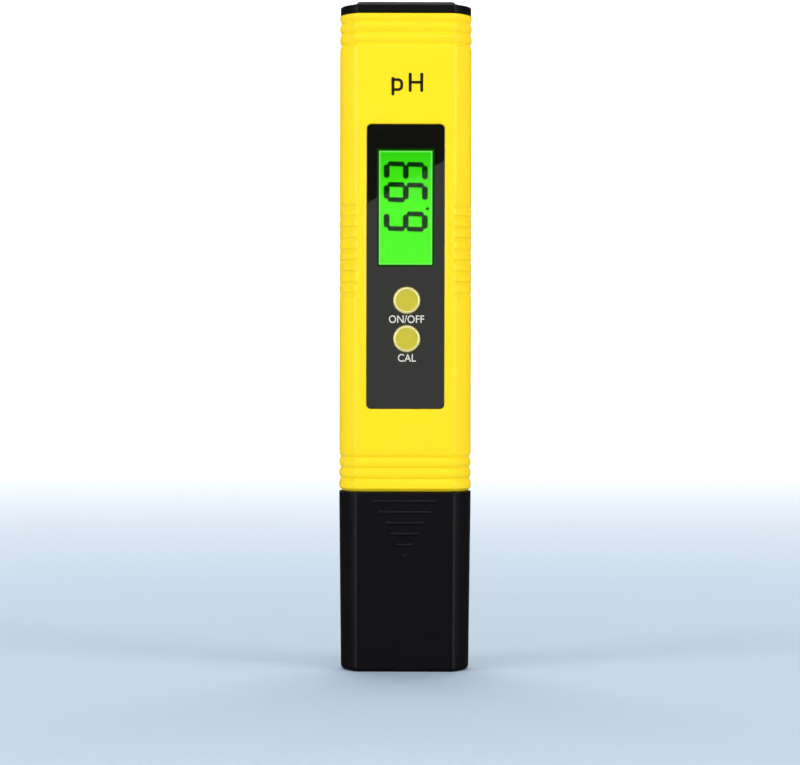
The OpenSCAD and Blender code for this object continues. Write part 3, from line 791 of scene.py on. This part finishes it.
def segment_strokes(bm, segments, z, width):
    """The dark segments of one figure, turned so that its top points left, centred on z."""
    left, middle, right = COLUMN_X
    low, high = z - width / 2, z + width / 2
    ends = {
        "a": ((left, low), (left, high)), "g": ((middle, low), (middle, high)),
        "d": ((right, low), (right, high)), "f": ((left, low), (middle, low)),
        "e": ((middle, low), (right, low)), "b": ((left, high), (middle, high)),
        "c": ((middle, high), (right, high)),
    }
    for name in segments:
        start, end = (Vector(p) for p in ends[name])
        upright = name in "agd"
        thick = SEGMENT_ACROSS if upright else SEGMENT_ALONG
        inward = (end - start).normalized() * (SEGMENT_GAP if upright else SEGMENT_GAP * 0.95)
        start, end = start + inward, end - inward
        stroke(bm, (start.x, start.y - LEAN * start.x), (end.x, end.y - LEAN * end.x), thick)


cell = slab(rounded_rect(glass_low.x, glass_high.x, glass_low.z, glass_high.z, 0.3), glass_low.y,
            glass_high.y)
finished("display_cell", cell, "housing", backlit_cell(), ["display_glass"])
figures = bmesh.new()
for segments, figure_z in DIGITS:
    segment_strokes(figures, segments, figure_z, FIGURE_WIDTH)
stroke(figures, (DOT[0] - 0.02, DOT[1]), (DOT[0] + 0.02, DOT[1]), 0.66)
inked(figures, glass_low.y - 0.005)
finished("display_figures", figures, "housing", printed_ink("dark_crystal", "033206", 0.0))


def clear_acrylic():
    """A clear window, coated so that it throws back little glare, with a moulding's slight ripple."""
    material, tree, shader, place = blank_material("clear_acrylic")
    glossed(tree, shader, noise(tree, place, 9, 1.0), 0.0, 0.02)
    set_inputs(shader, {"Base Color": (1, 1, 1, 1), "IOR": 1.25, "Transmission Weight": 1.0})
    return material


lens = slab(rounded_rect(window_low.x, window_high.x, window_low.z, window_high.z, WINDOW_CORNER),
            window_low.y, window_high.y)
finished("display_lens_window", lens, "housing", clear_acrylic(), ["display_lens"])

# A dark green line is printed round the window, on the panel's face.
BORDER = 0.45
border = carved(
    slab(rounded_rect(window_low.x - BORDER, window_high.x + BORDER, window_low.z - BORDER,
                      window_high.z + BORDER, 0.3), panel_low.y - 0.02, panel_low.y),
    [slab(rounded_rect(window_low.x, window_high.x, window_low.z, window_high.z, WINDOW_CORNER),
          panel_low.y - 1, panel_low.y + 1)])
finished("window_border", border, "housing", printed_ink("border_ink", "0D3902", 0.0))


# ---------------------------------------------------------------- keys
# Two round keys in translucent yellow-green plastic, slightly dished inside a raised rim that
# catches the light and is painted paler as a painted highlight. Each has a flange behind the
# panel and a stem over its switch.

def key_plastic(name, light, dark, roughness):
    """Soft translucent plastic: a little light goes through it, and it is faintly clouded."""
    material, tree, shader, place = blank_material(name)
    cloud = noise(tree, place, 1.6, 3.0)
    tinted(tree, shader, cloud, dark, light)
    bumped(tree, shader, cloud, 0.01)
    set_inputs(shader, {"Roughness": roughness, "Subsurface Weight": 0.15,
                        "Subsurface Radius": (0.8 * MM, 0.8 * MM, 0.3 * MM), "Subsurface Scale": 1.0})
    return material


RIM_BAND = 0.52
STEM_HALF = 1.5


def key_shape(node):
    """A key turned about its own axis: dome, rounded edge, flange and stem."""
    low, high = extent(node)
    radius, length = KEY_DIAMETER / 2, high.y - low.y
    flange = (high.x - low.x) / 2
    flange_at = panel_high.y + 0.1 - low.y
    flange_end = flange_at + 0.6
    profile = [(0, 0.06), (0.6 * radius, 0.05), (radius - RIM_BAND, 0.03), (radius - 0.43, 0.0),
               (radius - 0.37, 0.02), (radius - 0.08, 0.18), (radius - 0.02, 0.27), (radius, 0.35),
               (radius, flange_at), (flange, flange_at), (flange, flange_end), (STEM_HALF, flange_end),
               (STEM_HALF, length), (0, length)]
    bm = bmesh.new()
    turned(bm, profile, 64)
    bmesh.ops.rotate(bm, verts=bm.verts, matrix=Matrix.Rotation(math.radians(-90), 3, "X"))
    bmesh.ops.translate(bm, verts=bm.verts, vec=((low.x + high.x) / 2, low.y, (low.z + high.z) / 2))
    return bm


face_plastic = key_plastic("key_face_plastic", "C9BC36", "BAAD28", 0.3)
# The rim's pale colour is a painted highlight. It stands in for the light its rounded edge catches.
rim_painted_highlight = key_plastic("key_rim_painted_highlight", "E2DA9C", "DAD292", 0.16)
for key, middle in (("on_off_key", on_off_at), ("cal_key", cal_at)):
    made = finished(f"{key}_cap", key_shape(key), f"{key}_body", face_plastic, [key])
    made.data.materials.append(rim_painted_highlight)
    # Faces in the rim band take the pale painted-highlight colour.
    for face in made.data.polygons:
        reach = math.hypot(face.center.x - middle[0] * MM, face.center.z - middle[1] * MM)
        if (KEY_DIAMETER / 2 - RIM_BAND) * MM < reach and face.center.y < panel_low.y * MM + 0.5 * MM:
            face.material_index = 1


# ---------------------------------------------------------------- battery cover
# The black plug-in lid at the top: a flange with the pen's outline, a raised block to grip, and a
# plug with a rubber ring that seals in the housing. A sprung plate under it bridges the cells.

cover_low, cover_high = extent("battery_cover")
FLANGE_BASE = BODY_TOP + 0.1
FLANGE_TOP = FLANGE_BASE + 1.9
FLANGE_INSET = 0.15
PLUG_INSET = BAY_WALL + 0.08
SEAL_LOW, SEAL_HIGH = (corner.z for corner in extent("cover_seal"))
BLOCK_HALF_X = 11.3
BLOCK_HALF_Y = HALF_DEPTH - 1.4

black_cover_abs = moulded_plastic("black_cover_abs", "0C0D0C", "090A09", 0.4, 0.35, 0.004, 0.16)
cover = bmesh.new()
SEAL_GROOVE = PLUG_INSET + 0.74
cover_rings = [(cover_low.z, PLUG_INSET + 0.3), (cover_low.z + 0.3, PLUG_INSET),
               (SEAL_LOW - 0.02, PLUG_INSET), (SEAL_LOW - 0.02, SEAL_GROOVE),
               (SEAL_HIGH + 0.02, SEAL_GROOVE), (SEAL_HIGH + 0.02, PLUG_INSET), (FLANGE_BASE, PLUG_INSET)]
cover_rings += lower_round(FLANGE_BASE, 0.12, FLANGE_INSET, 3) + upper_round(FLANGE_TOP, 0.3, FLANGE_INSET, 6)
lofted(cover, [[(x, y, z) for x, y in pen_outline(inset)] for z, inset in cover_rings])
capped(cover)
block = bmesh.new()
block_rings = [(FLANGE_TOP - 0.2, -0.6), (FLANGE_TOP + 0.1, -0.6)] + upper_round(cover_high.z, 0.3, 0.3, 6)
lofted(block, [[(x, y, z) for x, y in rounded_rect(-BLOCK_HALF_X + inset, BLOCK_HALF_X - inset,
               -BLOCK_HALF_Y + inset, BLOCK_HALF_Y - inset, 1.3 - inset)] for z, inset in block_rings])
capped(block)
merge(cover, block)
finished("battery_cover_moulding", cover, "battery_cover_body", black_cover_abs,
         ["battery_cover"])


def seal_rubber():
    """Black nitrile rubber, matt, with the dusty bloom that moulded seals have."""
    material, tree, shader, place = blank_material("seal_rubber")
    tinted(tree, shader, noise(tree, place, 0.8, 3.0), "121212", "222222")
    set_inputs(shader, {"Roughness": 0.7})
    return material


def sprung_brass():
    """Brass strip, rolled: a warm metal with fine marks along it."""
    material, tree, shader, place = blank_material("sprung_brass")
    glossed(tree, shader, noise(tree, place, 0.6, 2.0), 0.22, 0.4)
    set_inputs(shader, {"Base Color": linear("D8B45C"), "Metallic": 1.0})
    return material


rubber = seal_rubber()
brass = sprung_brass()
finished("cover_seal_ring", softened_copy("cover_seal", 0.3, 3), "battery_cover_body", rubber,
         ["cover_seal"])
finished("contact_bridge_strip", softened_copy("contact_bridge", 0.1), "battery_cover_body", brass,
         ["contact_bridge"])


# ---------------------------------------------------------------- batteries
# Four LR44-size button cells in two stacks, in a black tray with two round pockets. Each cell is a
# nickel-plated can crimped over a dark gasket, with its smaller negative cup showing inside.

def glossy_insulation(name, colour):
    """Extruded wire insulation or a moulded gasket: smooth, soft and slightly shiny."""
    material, tree, shader, place = blank_material(name)
    glossed(tree, shader, noise(tree, place, 0.9, 2.0), 0.3, 0.42)
    set_inputs(shader, {"Base Color": linear(colour)})
    return material


gasket_nylon = glossy_insulation("gasket_nylon", "2B3A33")


def cell_shape(low, high, cup_up):
    """A button cell: the crimped can, the groove where the gasket shows, and the negative cup."""
    radius, height = (high.x - low.x) / 2, high.z - low.z
    can = [(0, 0), (radius - 1.6, 0), (radius - 1.5, 0.06), (radius - 0.5, 0.06),
           *arc((radius - 0.35, 0.41), 0.35, -90, 0, 5),
           (radius, height - 1.1), *arc((radius - 0.35, height - 1.0), 0.35, 0, 90, 5),
           (radius - 0.75, height - 0.65), (radius - 0.85, height - 0.78), (radius - 1.15, height - 0.78),
           (radius - 1.2, height - 0.3), *arc((radius - 1.5, height - 0.3), 0.3, 0, 90, 4),
           (radius - 2.6, height), (radius - 2.7, height - 0.05), (0, height - 0.05)]
    bm = bmesh.new()
    turned(bm, can, 64)
    if not cup_up:
        bmesh.ops.rotate(bm, verts=bm.verts, matrix=Matrix.Rotation(math.pi, 3, "X"))
        bmesh.ops.translate(bm, verts=bm.verts, vec=(0, 0, height))
    bmesh.ops.translate(bm, verts=bm.verts, vec=((low.x + high.x) / 2, 0, low.z))
    return bm


for stack, cup_up in (("left", False), ("right", True)):
    for level in ("lower", "upper"):
        node = f"cell_{stack}_{level}"
        cell_low, cell_high = extent(node)
        made = finished(f"{node}_can", cell_shape(cell_low, cell_high, cup_up), "housing", nickel_plate,
                        [node])
        made.data.materials.append(gasket_nylon)
        middle_x, half = (cell_low.x + cell_high.x) / 2 * MM, (cell_high.x - cell_low.x) / 2 * MM
        for face in made.data.polygons:
            reach = math.hypot(face.center.x - middle_x, face.center.y)
            if half - 1.21 * MM < reach < half - 0.8 * MM:
                face.material_index = 1

black_tray_abs = moulded_plastic("black_tray_abs", "1E1F20", "18191A", 0.5, 0.4, 0.01, 0.4)
finished("battery_tray_moulding", softened_copy("battery_tray", 0.2, 3), "housing", black_tray_abs,
         ["battery_tray"])


# ---------------------------------------------------------------- probe sleeve and fillings
# A dark grey tube that carries the electrode. Two prongs guard the bulb, a potted plug closes the
# lower end, a rubber bung the upper one, and a ring round its neck seals the storage cap.

grey_sleeve_abs = moulded_plastic("grey_sleeve_abs", "34363A", "2D2F32", 0.4, 0.35, 0.012, 0.45)
finished("probe_sleeve_moulding", softened_copy("probe_sleeve", 0.22, 3), "housing", grey_sleeve_abs,
         ["probe_sleeve"])
finished("cap_seal_ring", softened_copy("cap_seal", 0.35, 3), "housing", rubber,
         ["cap_seal"])


def potting_resin():
    """Cast epoxy: pale blue, smooth, with a few tiny bubbles."""
    material, tree, shader, place = blank_material("potting_resin")
    tinted(tree, shader, cells(tree, place, 0.9), "8FA3BC", "A9BACF")
    set_inputs(shader, {"Roughness": 0.22, "Coat Weight": 0.3})
    return material


finished("probe_plug_resin", softened_copy("probe_plug", 0.15), "housing", potting_resin(),
         ["probe_plug"])
finished("sleeve_bung_rubber", softened_copy("sleeve_bung", 0.2), "housing", rubber,
         ["sleeve_bung"])


# ---------------------------------------------------------------- electrode
# A thin glass bulb blown on the end of a glass stem, with a chlorided silver wire inside. Beside it
# stand the white porous junction and the stainless tip of the temperature probe.

def blown_glass():
    """Soda glass, clear with a faint green edge and the slight unevenness of blown work."""
    material, tree, shader, place = blank_material("blown_glass")
    bumped(tree, shader, noise(tree, place, 3, 1.0), 0.02)
    set_inputs(shader, {"Base Color": linear("EAF7F1"), "Roughness": 0.02, "IOR": 1.5,
                        "Transmission Weight": 1.0})
    return material


glass_box_low, glass_box_high = extent("glass_electrode")
BULB_RADIUS = 4
STEM_RADIUS = 3.5
GLASS_WALL = 0.7
stem_x = (glass_box_low.x + glass_box_high.x) / 2
bulb_z = glass_box_low.z + BULB_RADIUS


def bulb_profile(bulb, stem, top):
    """Half outline of the bulb from its tip, flowing through a soft neck into the stem."""
    leave = 50
    points = arc((0, bulb_z), bulb, -90, leave, 24)
    neck_r, neck_z = points[-1]
    for i in range(1, 9):
        t = i / 8
        blend = t * t * (3 - 2 * t)
        points.append((neck_r + (stem - neck_r) * blend, neck_z + 3.2 * t))
    return points + [(stem, top)]


outer = bulb_profile(BULB_RADIUS, STEM_RADIUS, glass_box_high.z)
inner = bulb_profile(BULB_RADIUS - 0.45, STEM_RADIUS - GLASS_WALL, glass_box_high.z)
bulb = bmesh.new()
turned(bulb, outer + inner[::-1], 56, centre=(stem_x, 0))
finished("glass_electrode_blown", bulb, "housing", blown_glass(), ["glass_electrode"])


def porous_ceramic():
    material, tree, shader, place = blank_material("porous_ceramic")
    pores = noise(tree, place, 0.25, 4.0)
    tinted(tree, shader, pores, "CFCCC2", "F4F2EC")
    bumped(tree, shader, pores, 0.05)
    set_inputs(shader, {"Roughness": 0.85})
    return material


finished("junction_wick", softened_copy("reference_junction", 0.15), "housing", porous_ceramic(),
         ["reference_junction"])
thermo_low, thermo_high = extent("temperature_probe")
thermo_x = (thermo_low.x + thermo_high.x) / 2
THERMO_RADIUS = 1.8
probe_tip = bmesh.new()
turned(probe_tip, [*arc((0, thermo_low.z + THERMO_RADIUS), THERMO_RADIUS, -90, 0, 12),
                   (THERMO_RADIUS, thermo_high.z), (0, thermo_high.z)], 48, centre=(thermo_x, 0))
finished("temperature_probe_tube", probe_tip, "housing", stainless_steel, ["temperature_probe"])


# ---------------------------------------------------------------- inner parts
# The circuit board with its parts, the display's frame and contact strips, switches, springs and
# leads. They are sealed in the housing, so they keep their CAD shapes and take their finishes here.

def solder_mask():
    """Green solder mask over glass fibre, with the copper tracks showing as faint lines."""
    material, tree, shader, place = blank_material("solder_mask")
    tracks = add(tree, "TexBrick", {"Vector": place, "Scale": 1 / (6 * MM), "Color1": linear("0C3A1B"),
                 "Color2": linear("0E4420"), "Mortar": linear("1F6B37"), "Mortar Size": 0.03})
    tree.links.new(tracks.outputs["Color"], shader.inputs["Base Color"])
    set_inputs(shader, {"Roughness": 0.3})
    return material


def frosted_guide():
    material, tree, shader, place = blank_material("frosted_guide")
    tinted(tree, shader, cells(tree, place, 0.8), "B9F5A8", "E4FBDD")
    set_inputs(shader, {"Roughness": 0.55})
    return material


def striped_rubber():
    """Contact strips: thin layers of conducting and plain rubber, which show as fine stripes."""
    material, tree, shader, place = blank_material("striped_rubber")
    stripes = add(tree, "TexWave", {"Vector": place, "Scale": 0.3 / MM}, bands_direction="Z")
    tinted(tree, shader, stripes.outputs["Fac"], "2A2A2A", "E2A0B4")
    set_inputs(shader, {"Roughness": 0.8})
    return material


def dressed(material, *nodes):
    """Gives CAD nodes their finish."""
    for name in nodes:
        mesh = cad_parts[name].data
        mesh.materials.clear()
        mesh.materials.append(material)


dressed(solder_mask(), "main_board")
dressed(frosted_guide(), "light_guide", "backlight_led")
dressed(striped_rubber(), "contact_strips")
dressed(moulded_plastic("black_epoxy", "101010", "0B0B0B", 0.25, 0.6, 0.01, 0.5), "controller_blob")
dressed(moulded_plastic("chip_epoxy", "1C1C1C", "161616", 0.55, 0.3, 0.01, 0.4), "amplifier_chip",
        "display_frame", "on_off_plunger", "cal_plunger")
dressed(moulded_plastic("fired_ceramic", "B08D5C", "9A7848", 0.5, 0.5, 0.01, 0.5), "board_parts")
dressed(moulded_plastic("ivory_nylon", "E8E0C6", "DDD4B6", 0.5, 0.4, 0.01, 0.4), "probe_socket")
dressed(nickel_plate, "board_screws", "on_off_switch", "cal_switch")
dressed(plated_steel("drawn_silver", "CFCFCF", 0.3, 0.3), "glass_wire", "reference_wire")
dressed(brass, "battery_springs")
dressed(glossy_insulation("red_insulation", "A8201C"), "battery_leads", "probe_leads")
